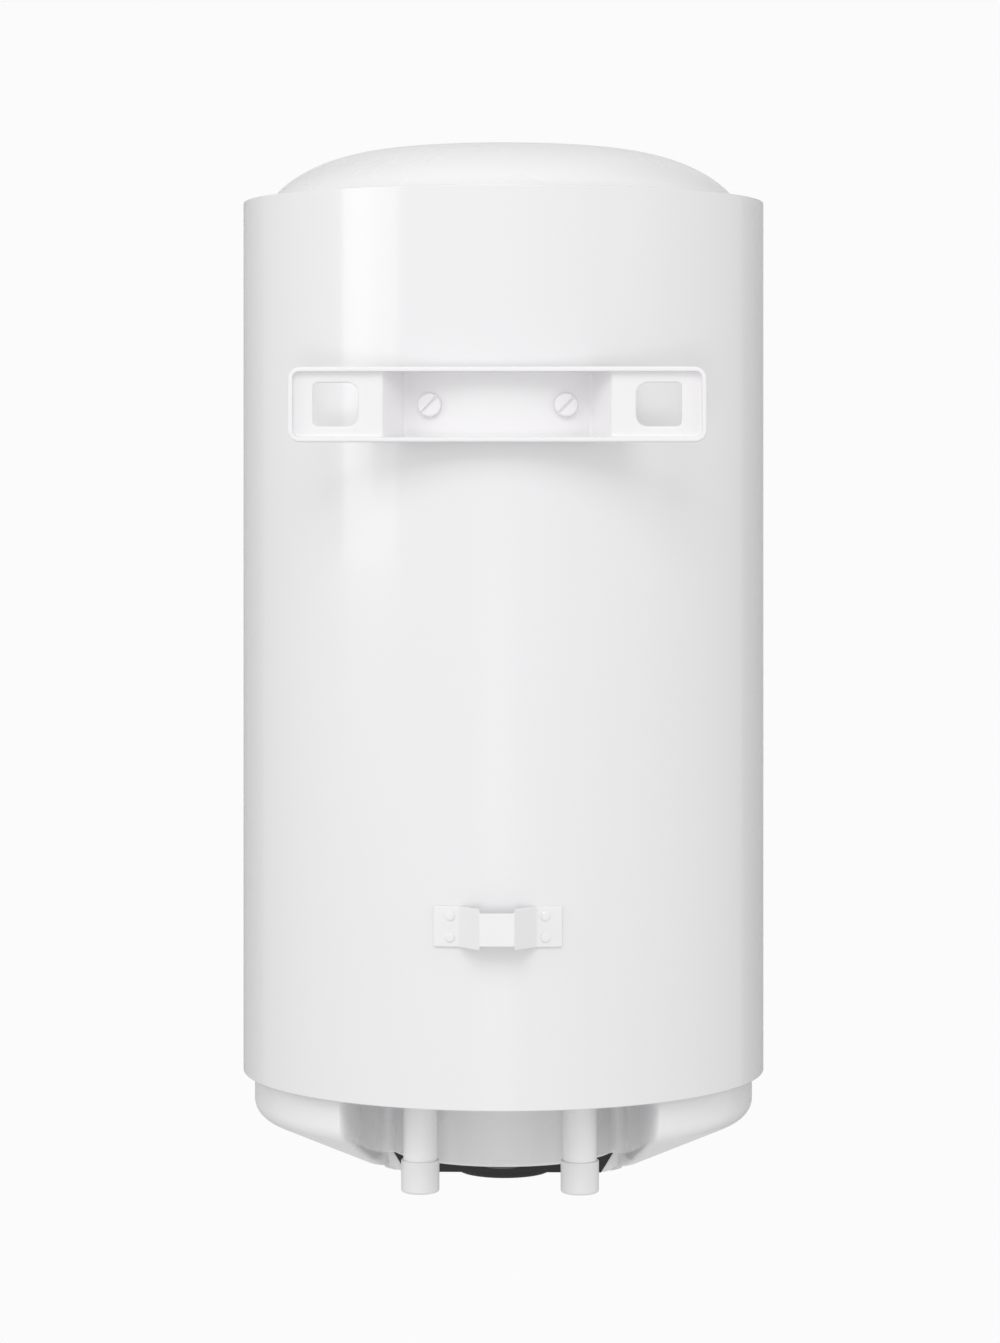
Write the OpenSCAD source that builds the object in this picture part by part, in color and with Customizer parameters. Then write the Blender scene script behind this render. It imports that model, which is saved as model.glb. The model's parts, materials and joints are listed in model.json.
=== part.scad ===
// Slim wall-hung storage water heater.
// Frame: origin midway between the two hook openings, on the wall plane.
// +Z is up, +Y points into the wall and the front faces -Y. Millimetres.

/* [Casing] */
// Outside diameter of the casing
casing_d = 340; // [330:1:360]
// Height of the casing
casing_h = 565; // [520:1:700]
// Thickness of the casing sheet
casing_t = 0.8; // [0.5:0.1:1.2]

/* [Hanging] */
// Gap between the casing and the wall
standoff = 16; // [14:0.5:20]
// Height of the casing above the centre of the hanger
hanger_drop = 134.5; // [110:0.5:160]
// Width of the hanger
hanger_w = 254; // [240:1:270]
// Height of the hanger
hanger_h = 46; // [40:0.5:54]
// Sheet thickness of the hanger
hanger_t = 2; // [1.5:0.1:2.5]
// Distance between the centres of the two hook openings
hook_spacing = 196; // [190:1:206]
// Width of a hook opening
hook_w = 27; // [22:0.5:30]
// Height of a hook opening
hook_h = 26; // [20:0.5:30]
// Width of the lower spacer
spacer_w = 79; // [74:0.5:90]
// Height of the lower spacer
spacer_h = 25; // [20:0.5:32]
// Distance from the centre of the hanger down to the lower spacer
spacer_drop = 318; // [260:1:360]

/* [Top cap] */
// Height of the dome above the casing
dome_h = 34.5; // [25:0.5:45]
// Radius of the dome's flat crown
dome_flat_r = 52; // [40:1:70]
// Radius of the dome at its foot
dome_foot_r = 152; // [140:1:156]

/* [Bottom cover] */
// Radius of the cover's upright wall
cover_r = 162.5; // [158:0.5:164]
// Depth of the cover below the casing
cover_depth = 68; // [60:0.5:76]
// Wall thickness of the moulded covers
shell_t = 2.5; // [2:0.1:3]
// Radius of the round inner wall at the back
drum_r = 75; // [72:0.5:78]
// Depth of the round inner wall below the casing
drum_depth = 52; // [46:0.5:56]

/* [Controls] */
// Radius of the control knob
knob_r = 31; // [26:0.5:31]
// Height by which the knob stands below the cover
knob_proud = 5.3; // [3:0.1:8]
// Distance of the knob in front of the tank's axis
knob_front = 29; // [27:0.5:30]

/* [Water connections] */
// Outside diameter of the water pipes
pipe_d = 21.3; // [20:0.1:22]
// Inside radius of the water pipes
pipe_bore_r = 8; // [7.5:0.1:8.2]
// Distance between the two pipes
pipe_spacing = 100; // [96:1:104]
// Distance of the pipes behind the tank's axis
pipe_back = 104.5; // [100:0.5:110]
// Distance of the pipe ends below the casing
pipe_drop = 59.8; // [50:0.1:64]
// Outside radius of a pipe cap
cap_r = 12; // [11.8:0.1:14]
// Length of a pipe cap
cap_l = 20.3; // [16:0.1:26]

/* [Tank] */
// Outside radius of the tank
tank_r = 148; // [140:0.5:152]
// Wall thickness of the tank
tank_t = 2; // [1.5:0.1:2.5]
// Height of the tank's domed ends
tank_dome_h = 32; // [26:1:36]

/* [Hidden] */
$fn = 64;

eps = 0.5;                          // how far a cutter runs past a face
casing_r = casing_d / 2;
axis_y = -(casing_r + standoff);    // where the tank's upright axis stands
top_z = hanger_drop;                // upper rim of the casing
rim_z = top_z - casing_h;           // lower rim of the casing
cover_z = rim_z - cover_depth;      // flat bottom of the cover

hem_h = 8;                          // folded hem at both casing rims
hem_r = casing_r - 2 * casing_t;
skirt_r = hem_r - 0.2;              // skirt of the top cap
skirt_h = 14;
ledge_drop = 1.5;                   // ledge round the dome, below the rim
dome_bulge = [2.5, 1.33];           // exponents of the dome's shoulder
dome_steps = 14;

base_z = rim_z + hem_h;             // underside of the base plate
base_t = 1;
cover_turn_z = -18;                 // end of the upright wall, from the rim
cover_fillet = 12;
cover_slope = 23.8;
fillet_steps = 6;
notch_flare = 0.156;                // side walls of the notch open backwards
notch_front = 5;                    // front end of the notch, behind the axis
notch_half = 75.2;                  // half width of the notch at its front end
notch_end = 175;
drum_z = rim_z - drum_depth;

panel_z = cover_z - 0.4;            // lower face of the control panel
panel_r = 64;
panel_t = 2.5;
panel_back_top = 73;                // half width of the panel's back wall
panel_gap = 1.5;                    // below the round wall's floor
recess_r = knob_r + 1;
recess_z = panel_z + 6.5;           // floor of the knob recess
knob_z = cover_z - knob_proud;      // lower face of the knob
knob_play = 0.5;
lamp_at = [46, -22];                // indicator, from the tank's axis

bay_d = 4;                          // depth of the hook bays
bay_x = 69.5;                       // inner end of a hook bay
saddle_x = 57;                      // half width of the saddle
saddle_y = axis_y + sqrt(pow(casing_r + hanger_t, 2) - pow(saddle_x, 2));
slope_lean = -(bay_x - saddle_x) / (bay_d + saddle_y);
hanger_corner = 5.5;
hook_round_in = 6;
hook_round_out = 2;
hanger_screw_x = 40.8;
screw_turn = asin(hanger_screw_x / casing_r);
screw_r = 4;
screw_hole_r = 4.5;
screw_head_r = 7.4;
screw_head_h = 3.4;
boss_r = 9;

spacer_t = 1.5;
crown_half = 10.5;
spacer_foot = 24;
wing_start = 20.5;                  // where the spacer's wings begin
crown_notch = 2.5;
rivet_x = 28.9;
rivet_turn = asin(rivet_x / casing_r);
rivet_z = 6.5;
rivet_r = 1.6;

pipe_r = pipe_d / 2;
pipe_z = rim_z - pipe_drop;         // lower end of the pipes
socket_r = pipe_bore_r + 0.6;       // counterbored end of a pipe
socket_l = 18;
cap_floor = 2;
cap_play = 0.05;
cap_edge = 2;                       // rounded lower edge of a cap
grommet_r = 16;
grommet_neck_r = 13;

tank_low_z = rim_z + 45;            // foot of the tank's straight wall
tank_high_z = top_z - 40;
tank_steps = 10;
neck_r = 40;
ring_r = 60;
ring_z = rim_z + 5;
gasket_t = 3;
plate_t = 4;
plate_z = ring_z - gasket_t - plate_t;
stud_r = 4;
stud_count = 6;
stud_circle_r = 52;
nut_r = 7.5;
nut_h = 6.5;
access_r = 64;

leg_x = 18;                         // element legs
leg_y = 8;
element_r = 4.25;
element_top = rim_z + 260;
anode_y = 28;
anode_r = 8;
anode_top = rim_z + 230;
pocket_r = 5;
pocket_bore_r = 4;
pocket_top = rim_z + 270;
housing_w = 44;
housing_d = 36;
housing_h = 26;
housing_z = plate_z - 14 - housing_h;
spindle_r = 3;
spindle_play = 0.05;
button_r = 4;
button_at = [15, -12];              // reset button, from the spindle
wire_r = 1.3;
blade_t = 0.8;                      // thickness of the element's flat terminals
block_at = [-104, -30];
block_w = 16;
block_l = 42;
block_h = 15;
gland_at = [0, 45];
gland_r = 8;
gland_bore_r = 4.5;
post_at = [47, 47];
post_r = 4.5;

// ---- helpers ----

module on_axis() { translate([0, axis_y, 0]) children(); }

module at_knob() { translate([0, axis_y - knob_front, 0]) children(); }

module disc(r, z0, z1) { translate([0, 0, z0]) cylinder(r = r, h = z1 - z0); }

module ring(ro, ri, z0, z1) {
  difference() {
    disc(ro, z0, z1);
    disc(ri, z0 - eps, z1 + eps);
  }
}

module block(x0, x1, y0, y1, z0, z1) {
  translate([x0, y0, z0]) cube([x1 - x0, y1 - y0, z1 - z0]);
}

// cylinder that points away from the tank's axis, turned from the back
module spoke(turn, r, from, to, z) {
  on_axis() translate([0, 0, z]) rotate([0, 0, -turn]) rotate([-90, 0, 0])
    translate([0, 0, from]) cylinder(r = r, h = to - from);
}

module rounded_plate(w, h, r) {
  square([w - 2 * r, h], center = true);
  square([w, h - 2 * r], center = true);
  for (x = [-1, 1], z = [-1, 1])
    translate([x * (w / 2 - r), z * (h / 2 - r)]) circle(r = r);
}

// plate outline in X and Z, extruded from y0 to y1
module upright_prism(y0, y1) {
  translate([0, y1, 0]) rotate([90, 0, 0]) linear_extrude(y1 - y0) children();
}

module at_pipe(side) {
  on_axis() translate([side * pipe_spacing / 2, pipe_back, 0]) children();
}

// point on a smooth curve through p, t of the way from point i to the next
function curve_point(p, i, t) =
  let (a = p[max(i - 1, 0)], b = p[i], c = p[i + 1], d = p[min(i + 2, len(p) - 1)])
  b + 0.5 * t * (c - a + t * (2 * a - 5 * b + 4 * c - d + t * (3 * b - a - 3 * c + d)));

function curve(p, n) = concat(
  [for (i = [0 : len(p) - 2], j = [0 : n - 1]) curve_point(p, i, j / n)],
  [p[len(p) - 1]]
);

// wire along a smooth curve; side is any direction that the wire never takes
module wire(points, side) {
  path = curve(points, 4);
  last = len(path) - 1;
  sides = 8;
  corners = [
    for (i = [0 : last])
      let (t = path[min(i + 1, last)] - path[max(i - 1, 0)],
           a = cross(t, side) / norm(cross(t, side)),
           b = cross(t, a) / norm(t))
      for (k = [0 : sides - 1])
        path[i] + wire_r * (cos(360 * k / sides) * a + sin(360 * k / sides) * b)
  ];
  walls = [
    for (i = [0 : last - 1], k = [0 : sides - 1])
      let (low = i * sides, high = low + sides, next = (k + 1) % sides)
      [low + k, high + k, high + next, low + next]
  ];
  ends = [[for (k = [0 : sides - 1]) k],
          [for (k = [0 : sides - 1]) (last + 1) * sides - 1 - k]];
  polyhedron(points = corners, faces = concat(walls, ends));
}

// ---- outlines ----

function dome_points(h, foot_r) = [
  for (i = [0 : dome_steps])
    let (u = sin(90 * i / dome_steps))
    [dome_flat_r + (foot_r - dome_flat_r) * u,
     top_z + h * pow(1 - pow(u, dome_bulge[0]), 1 / dome_bulge[1])]
];

function cover_points(d) =
  let (r = cover_r - d,
       fillet = cover_fillet - d,
       turn = 90 - cover_slope,
       cz = rim_z + cover_turn_z,
       end_r = r - fillet * (1 - cos(turn)),
       end_z = cz - fillet * sin(turn),
       flat_r = end_r - (end_z - cover_z - d) / tan(cover_slope))
  concat(
    [[r, cz]],
    [for (i = [1 : fillet_steps])
      let (a = turn * i / fillet_steps)
      [r - fillet * (1 - cos(a)), cz - fillet * sin(a)]],
    [[flat_r, cover_z + d], [0, cover_z + d]]
  );

function tank_points(d) = concat(
  [for (i = [0 : tank_steps])
    let (a = 90 * i / tank_steps)
    [(tank_r - d) * sin(a), tank_low_z - (tank_dome_h - d) * cos(a)]],
  [for (i = [0 : tank_steps])
    let (a = 90 * i / tank_steps)
    [(tank_r - d) * cos(a), tank_high_z + (tank_dome_h - d) * sin(a)]]
);

module tank_body(d) { on_axis() rotate_extrude() polygon(tank_points(d)); }

// ---- casing and covers ----

module outer_casing() color("white") difference() {
  on_axis() {
    ring(casing_r, casing_r - casing_t, rim_z, top_z);
    ring(casing_r - casing_t, hem_r, rim_z, rim_z + hem_h);
    ring(casing_r - casing_t, hem_r, top_z - hem_h, top_z);
  }
  for (side = [-1, 1]) {
    spoke(side * screw_turn, screw_hole_r, casing_r - 10, casing_r + 10, 0);
    for (z = [-rivet_z, rivet_z])
      spoke(side * rivet_turn, rivet_r, casing_r - 10, casing_r + 10,
            z - spacer_drop);
  }
}

module top_cap() color("white") on_axis() rotate_extrude() difference() {
  polygon(concat(
    [[0, top_z - skirt_h], [0, top_z + dome_h]],
    dome_points(dome_h, dome_foot_r),
    [[dome_foot_r, top_z - ledge_drop], [skirt_r, top_z - ledge_drop],
     [skirt_r, top_z - skirt_h]]
  ));
  polygon(concat(
    [[0, top_z - skirt_h - eps], [0, top_z + dome_h - shell_t]],
    dome_points(dome_h - shell_t, dome_foot_r - shell_t),
    [[dome_foot_r - shell_t, top_z - ledge_drop - shell_t],
     [skirt_r - shell_t, top_z - ledge_drop - shell_t],
     [skirt_r - shell_t, top_z - skirt_h - eps]]
  ));
}

// plan of the notch, grown by d, without the round wall
module notch_plan(d) {
  front = notch_front - d;
  half = notch_half + d;
  back = half + notch_flare * (notch_end - front);
  polygon([[-half, front], [half, front], [back, notch_end], [-back, notch_end]]);
}

// space that the notch takes away; d = shell_t gives the inside of its walls
module notch_space(d) {
  translate([0, 0, cover_z - 5]) linear_extrude(cover_depth + 20) difference() {
    notch_plan(d);
    circle(r = drum_r - d);
  }
  translate([0, 0, cover_z - 5])
    linear_extrude(drum_z + d - cover_z + 5) notch_plan(d);
}

// opening of the control panel in the step behind it
module panel_back_outline() {
  top = drum_z - panel_gap;
  polygon([[-panel_back_top, top], [panel_back_top, top],
           [panel_r, panel_z], [-panel_r, panel_z]]);
}

module panel_plan() {
  intersection() {
    circle(r = panel_r);
    translate([-panel_r, -panel_r]) square([2 * panel_r, panel_r + notch_front]);
  }
}

module bottom_cover() color("white") on_axis() difference() {
  difference() {
    rotate_extrude() polygon(concat(
      [[0, base_z], [cover_r, base_z]], cover_points(0)));
    notch_space(0);
  }
  difference() {
    rotate_extrude() polygon(concat(
      [[0, base_z + eps], [cover_r - shell_t, base_z + eps]],
      cover_points(shell_t)));
    notch_space(shell_t);
  }
  translate([0, 0, cover_z - eps]) linear_extrude(shell_t + 2 * eps) panel_plan();
  upright_prism(notch_front - shell_t - eps, notch_front + eps)
    panel_back_outline();
  translate([gland_at[0], gland_at[1], 0]) disc(gland_r, drum_z - eps, drum_z + 4);
  for (side = [-1, 1])
    translate([side * post_at[0], post_at[1], 0]) disc(2.6, drum_z - eps, drum_z + 4);
}

module base_plate() color("silver") difference() {
  on_axis() difference() {
    disc(casing_r - casing_t, base_z, base_z + base_t);
    disc(access_r, base_z - eps, base_z + base_t + eps);
  }
  for (side = [-1, 1]) at_pipe(side)
    disc(grommet_neck_r, base_z - eps, base_z + base_t + eps);
}

module insulation_foam() color("khaki") difference() {
  on_axis() {
    disc(hem_r - 0.2, base_z + base_t, top_z - skirt_h);
    rotate_extrude() polygon(concat(
      [[0, top_z - skirt_h], [0, top_z + dome_h - shell_t]],
      dome_points(dome_h - shell_t, dome_foot_r - shell_t),
      [[dome_foot_r - shell_t, top_z - ledge_drop - shell_t],
       [skirt_r - shell_t, top_z - ledge_drop - shell_t],
       [skirt_r - shell_t, top_z - skirt_h]]
    ));
  }
  tank_body(0);
  on_axis() disc(access_r, base_z, tank_low_z);
  for (side = [-1, 1]) {
    at_pipe(side) disc(pipe_r, base_z, tank_low_z);
    spoke(side * screw_turn, boss_r, tank_r - 10, casing_r + 5, 0);
    for (z = [-rivet_z, rivet_z])
      spoke(side * rivet_turn, 3.2, casing_r - 6, casing_r + 5, z - spacer_drop);
  }
}

// ---- tank ----

module inner_tank() color("steelblue") difference() {
  tank_body(0);
  tank_body(tank_t);
  on_axis() disc(neck_r, rim_z, tank_low_z);
  for (side = [-1, 1]) at_pipe(side) disc(pipe_r, rim_z, tank_low_z);
}

module hanger_bosses() color("gray") for (side = [-1, 1]) difference() {
  intersection() {
    spoke(side * screw_turn, boss_r, tank_r - 6, casing_r + 5, 0);
    on_axis() ring(casing_r - casing_t, tank_r, -20, 20);
  }
  spoke(side * screw_turn, screw_r, tank_r - 10, casing_r + 10, 0);
}

module neck_ring() color("gray") difference() {
  on_axis() ring(ring_r, neck_r, ring_z, rim_z + 20);
  tank_body(0);
}

module at_studs() {
  on_axis() for (i = [0 : stud_count - 1])
    rotate([0, 0, (i + 0.5) * 360 / stud_count])
      translate([stud_circle_r, 0, 0]) children();
}

module neck_studs() color("silver")
  at_studs() disc(stud_r, plate_z - 9, ring_z);

module flange_gasket() color("dimgray") difference() {
  on_axis() ring(ring_r - 1, neck_r - 2, ring_z - gasket_t, ring_z);
  at_studs() disc(stud_r, ring_z - 5, ring_z + eps);
}

module at_legs() {
  on_axis() for (side = [-1, 1]) translate([side * leg_x, leg_y, 0]) children();
}

module flange_plate() color("silver") difference() {
  on_axis() disc(ring_r, plate_z, plate_z + plate_t);
  at_studs() disc(stud_r, plate_z - eps, plate_z + plate_t + eps);
  at_legs() disc(element_r, plate_z - eps, plate_z + plate_t + eps);
  on_axis() translate([0, anode_y, 0]) disc(3, plate_z - eps, plate_z + plate_t + eps);
  at_knob() disc(pocket_r, plate_z - eps, plate_z + plate_t + eps);
}

module flange_nuts() color("silver") at_studs() difference() {
  translate([0, 0, plate_z - nut_h]) cylinder(r = nut_r, h = nut_h, $fn = 6);
  disc(stud_r, plate_z - nut_h - eps, plate_z + eps);
}

module heating_element() color("sienna") {
  bend_z = element_top - leg_x;
  at_legs() disc(element_r, plate_z - 12, bend_z);
  on_axis() translate([0, leg_y, bend_z]) intersection() {
    rotate([90, 0, 0]) rotate_extrude() translate([leg_x, 0]) circle(r = element_r);
    block(-leg_x * 2, leg_x * 2, -20, 20, 0, leg_x * 2);
  }
}

module element_bushes() color("ivory") at_legs()
  ring(element_r + 1.5, element_r, plate_z - 8, plate_z);

module element_terminals() color("silver") at_legs() {
  disc(2, plate_z - 20, plate_z - 12);
  block(-3.2, 3.2, -blade_t / 2, blade_t / 2, plate_z - 28, plate_z - 20);
}

module anode_rod() color("darkgray") on_axis() translate([0, anode_y, 0]) {
  disc(anode_r, plate_z + plate_t, anode_top);
  disc(3, plate_z - 7, plate_z + plate_t);
}

module anode_nut() color("silver") on_axis() translate([0, anode_y, 0])
  difference() {
    translate([0, 0, plate_z - 5]) cylinder(r = 5.8, h = 5, $fn = 6);
    disc(3, plate_z - 6, plate_z + eps);
  }

// ---- water pipes ----

module water_pipe(side, head_z) {
  at_pipe(side) difference() {
    disc(pipe_r, pipe_z, head_z);
    disc(pipe_bore_r, pipe_z - eps, head_z + eps);
    disc(socket_r, pipe_z - eps, pipe_z + socket_l);
  }
}

module cold_inlet_pipe() color("white") water_pipe(1, rim_z + 75);

module hot_outlet_pipe() color("white") water_pipe(-1, tank_high_z + 5);

module pipe_cap(side) {
  low = pipe_z - cap_floor;
  at_pipe(side) difference() {
    union() {
      disc(cap_r, low + cap_edge, low + cap_l);
      disc(cap_r - cap_edge, low, low + cap_edge);
      translate([0, 0, low + cap_edge]) rotate_extrude()
        translate([cap_r - cap_edge, 0]) circle(r = cap_edge);
    }
    disc(pipe_r + cap_play, pipe_z, low + cap_l + eps);
  }
}

module cold_pipe_cap() color("gainsboro") pipe_cap(1);

module hot_pipe_cap() color("gainsboro") pipe_cap(-1);

module pipe_grommets() color("dimgray") for (side = [-1, 1]) at_pipe(side) {
  ring(grommet_r, pipe_r, base_z - 3, base_z);
  ring(grommet_neck_r, pipe_r, base_z, base_z + base_t);
}

module inlet_deflector() color("white") at_pipe(1) {
  head = rim_z + 75;
  ring(pipe_r + 2, pipe_r, head - 12, head);
  for (i = [0 : 3]) rotate([0, 0, 90 * i])
    block(pipe_r, pipe_r + 2, -2, 2, head, head + 8);
  disc(pipe_r + 4, head + 8, head + 10);
}

// ---- hanger and spacer ----

// x of a slope that runs from the bay's end down to the saddle, moved out by d
function slope_x(y, d) =
  bay_x + (y + bay_d) * slope_lean + d * sqrt(1 + slope_lean * slope_lean);

module hanger_plan(d, end_x, wall_y) {
  low = -bay_d - 24;
  difference() {
    polygon([
      [-end_x, wall_y], [end_x, wall_y], [end_x, -bay_d - d],
      [slope_x(-bay_d - d, d), -bay_d - d], [slope_x(low, d), low],
      [-slope_x(low, d), low], [-slope_x(-bay_d - d, d), -bay_d - d],
      [-end_x, -bay_d - d]
    ]);
    translate([0, axis_y]) circle(r = casing_r + hanger_t - d);
  }
}

module hook_outline() {
  in = hook_round_in;
  out = hook_round_out;
  w = hook_w / 2;
  h = hook_h / 2;
  translate([-w + in, -h]) square([hook_w - in - out, hook_h]);
  translate([-w, -h + in]) square([in, hook_h - 2 * in]);
  translate([w - out, -h + out]) square([out, hook_h - 2 * out]);
  for (z = [-1, 1]) {
    translate([-w + in, z * (h - in)]) circle(r = in);
    translate([w - out, z * (h - out)]) circle(r = out);
  }
}

module hanger_bracket() color("whitesmoke") difference() {
  intersection() {
    translate([0, 0, -hanger_h / 2]) linear_extrude(hanger_h)
      hanger_plan(hanger_t, hanger_w / 2, 0);
    upright_prism(-40, eps) rounded_plate(hanger_w, hanger_h, hanger_corner);
  }
  intersection() {
    translate([0, 0, -hanger_h / 2 + hanger_t]) linear_extrude(hanger_h - 2 * hanger_t)
      hanger_plan(0, hanger_w / 2 - hanger_t, 1);
    upright_prism(-40, 1) rounded_plate(
      hanger_w - 2 * hanger_t, hanger_h - 2 * hanger_t, hanger_corner - hanger_t);
  }
  for (side = [-1, 1]) {
    upright_prism(-bay_d - hanger_t - 1, -bay_d + 1)
      translate([side * hook_spacing / 2, 0]) scale([side, 1, 1]) hook_outline();
    spoke(side * screw_turn, screw_hole_r, casing_r - 5, casing_r + 9, 0);
  }
}

module hanger_screws() color("white") for (side = [-1, 1]) difference() {
  union() {
    spoke(side * screw_turn, screw_r, tank_r + 3, casing_r + hanger_t, 0);
    spoke(side * screw_turn, screw_head_r, casing_r + hanger_t,
          casing_r + hanger_t + screw_head_h, 0);
  }
  on_axis() rotate([0, 0, -side * screw_turn])
    translate([0, casing_r + hanger_t + screw_head_h, 0])
      rotate([0, 45, 0]) cube([2 * screw_head_r + 2, 3, 1.6], center = true);
}

// bent middle of the spacer, between the wall and the casing
module crown_plan() {
  lean = (spacer_foot - crown_half) / (standoff + 1);
  wide = spacer_t * sqrt(1 + lean * lean);
  low = -standoff - 8;
  difference() {
    polygon([[-crown_half, 0], [crown_half, 0],
             [crown_half - low * lean, low], [-crown_half + low * lean, low]]);
    polygon([
      [-crown_half - spacer_t * lean + wide, -spacer_t],
      [crown_half + spacer_t * lean - wide, -spacer_t],
      [crown_half - low * lean - wide, low - eps],
      [-crown_half + low * lean + wide, low - eps]]);
    translate([0, axis_y]) circle(r = casing_r);
  }
}

module lower_spacer() color("white") difference() {
  union() {
    translate([0, 0, -spacer_drop - spacer_h / 2]) linear_extrude(spacer_h) crown_plan();
    for (side = [-1, 1]) intersection() {
      on_axis() ring(casing_r + spacer_t, casing_r, -spacer_drop - spacer_h / 2,
                     -spacer_drop + spacer_h / 2);
      translate([side * (wing_start + spacer_w / 2) / 2, 0, -spacer_drop])
        cube([spacer_w / 2 - wing_start, 2 * (standoff + 20), spacer_h + 2], center = true);
    }
  }
  for (side = [-1, 1])
    translate([0, 0, side * spacer_h / 2 - spacer_drop])
      block(-crown_half, crown_half, -4, eps, -crown_notch, crown_notch);
  for (side = [-1, 1], z = [-rivet_z, rivet_z])
    spoke(side * rivet_turn, rivet_r, casing_r - 2, casing_r + 5, z - spacer_drop);
}

module spacer_rivets() color("white")
  for (side = [-1, 1], z = [-rivet_z, rivet_z]) {
    spoke(side * rivet_turn, rivet_r, casing_r - 3.5, casing_r + spacer_t,
          z - spacer_drop);
    spoke(side * rivet_turn, rivet_r + 1.2, casing_r + spacer_t,
          casing_r + spacer_t + 0.8, z - spacer_drop);
    spoke(side * rivet_turn, rivet_r + 1, casing_r - 4.5,
          casing_r - casing_t - 0.4, z - spacer_drop);
  }

// ---- thermostat and controls ----

module thermostat_pocket() color("silver") at_knob() {
  ring(pocket_r, pocket_bore_r, plate_z - 8, pocket_top);
  disc(pocket_r, pocket_top, pocket_top + 2);
}

module thermostat_probe() color("peru") at_knob()
  disc(3, housing_z + housing_h, pocket_top - 6);

module thermostat_housing() color("darkslategray") at_knob() difference() {
  union() {
    block(-housing_w / 2, housing_w / 2, -housing_d / 2, housing_d / 2,
          housing_z, housing_z + housing_h);
    disc(7, housing_z - 4, housing_z);
  }
  disc(spindle_r + spindle_play, housing_z - 4 - eps, housing_z + 8);
  translate([button_at[0], button_at[1], 0])
    disc(button_r + 0.1, housing_z - eps, housing_z + 8);
}

module cutout_button() color("firebrick") at_knob()
  translate([button_at[0], button_at[1], 0])
    disc(button_r, housing_z - 2.5, housing_z + 5);

module thermostat_spindle() color("silver") at_knob()
  disc(spindle_r, knob_z + 4, housing_z + 7);

module thermostat_knob() color("dimgray") at_knob() {
  rim = 3;
  grip = 5;
  deep = 5;
  top = recess_z - knob_play;
  difference() {
    union() {
      disc(knob_r, knob_z + 1.5, top);
      disc(knob_r - 1.5, knob_z, knob_z + 1.5);
      translate([0, 0, knob_z + 1.5]) rotate_extrude()
        translate([knob_r - 1.5, 0]) circle(r = 1.5);
    }
    difference() {
      disc(knob_r - rim, knob_z - eps, knob_z + deep);
      block(-grip, grip, -knob_r, knob_r, knob_z - 1, knob_z + deep + 1);
    }
    disc(spindle_r, knob_z + 4, top + eps);
  }
}

module control_panel() color("darkslategray") on_axis() difference() {
  union() {
    translate([0, 0, panel_z]) linear_extrude(panel_t) panel_plan();
    upright_prism(notch_front - panel_t, notch_front) panel_back_outline();
    translate([0, -knob_front, 0]) disc(recess_r + 1.6, panel_z, recess_z + 2);
  }
  translate([0, -knob_front, 0]) {
    disc(recess_r, panel_z - eps, recess_z);
    disc(spindle_r + 1.2, recess_z - eps, recess_z + 3);
  }
  translate([lamp_at[0], lamp_at[1], 0]) disc(4, panel_z - eps, panel_z + panel_t + eps);
}

module lamp_lens() color("orangered") on_axis()
  translate([lamp_at[0], lamp_at[1], 0]) {
    disc(4, panel_z, panel_z + panel_t);
    disc(5.2, panel_z + panel_t, panel_z + panel_t + 1.2);
  }

module indicator_lamp() color("orange") on_axis()
  translate([lamp_at[0], lamp_at[1], 0])
    disc(3, panel_z + panel_t + 1.2, panel_z + panel_t + 16);

// ---- wiring ----

module terminal_bracket() color("silver") on_axis()
  translate([block_at[0], block_at[1], 0]) {
    block(-block_w / 2, block_w / 2, -block_l / 2, block_l / 2, base_z - 13.5, base_z - 12);
    block(-block_w / 2, block_w / 2, block_l / 2, block_l / 2 + 1.5, base_z - 13.5, base_z);
    block(-block_w / 2, block_w / 2, -block_l / 2 - 1.5, -block_l / 2, base_z - 13.5, base_z);
  }

module at_terminals() {
  on_axis() translate([block_at[0], block_at[1], 0])
    for (i = [-1 : 1]) translate([0, i * block_l / 3, 0]) children();
}

module terminal_block() color("ivory") difference() {
  on_axis() translate([block_at[0], block_at[1], 0])
    block(-block_w / 2, block_w / 2, -block_l / 2, block_l / 2,
          base_z - 13.5 - block_h, base_z - 13.5);
  at_terminals() {
    disc(2.6, base_z - 14 - block_h, base_z - 7 - block_h);
    translate([0, 0, base_z - 21]) rotate([0, 90, 0])
      cylinder(r = wire_r, h = 3 * block_w, center = true, $fn = 24);
  }
}

module terminal_screws() color("silver") at_terminals() difference() {
  disc(2.6, base_z - 12 - block_h, base_z - 7.5 - block_h);
  block(-3, 3, -0.4, 0.4, base_z - 12.5 - block_h, base_z - 11 - block_h);
}

module earth_screw() color("goldenrod") on_axis() translate([-30, -18, 0]) {
  disc(3, plate_z - 8, plate_z);
  translate([0, 0, plate_z - 6]) cylinder(r = 5, h = 4, $fn = 6);
}

// middle of a terminal, and points on the straight stretch out of it
function terminal(i, out) =
  [block_at[0] + out, axis_y + block_at[1] + i * block_l / 3, base_z - 21];

module live_wire() color("saddlebrown") wire([
  terminal(-1, 0), terminal(-1, 12), terminal(-1, 22),
  [-52, axis_y - 58, rim_z - 34],
  [-housing_w / 2 - 12, axis_y - knob_front - 8, housing_z + 14],
  [-housing_w / 2 - 0.3, axis_y - knob_front - 8, housing_z + 14]
], [0, 0, 1]);

module neutral_wire() color("royalblue") wire([
  terminal(0, 0), terminal(0, 12), terminal(0, 22),
  [-54, axis_y - 2, rim_z - 36],
  [-leg_x - 8, axis_y + leg_y + 12, plate_z - 40],
  [-leg_x, axis_y + leg_y + 3, plate_z - 34],
  [-leg_x, axis_y + leg_y + 2, plate_z - 24]
], [0, 1, 0]);

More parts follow.
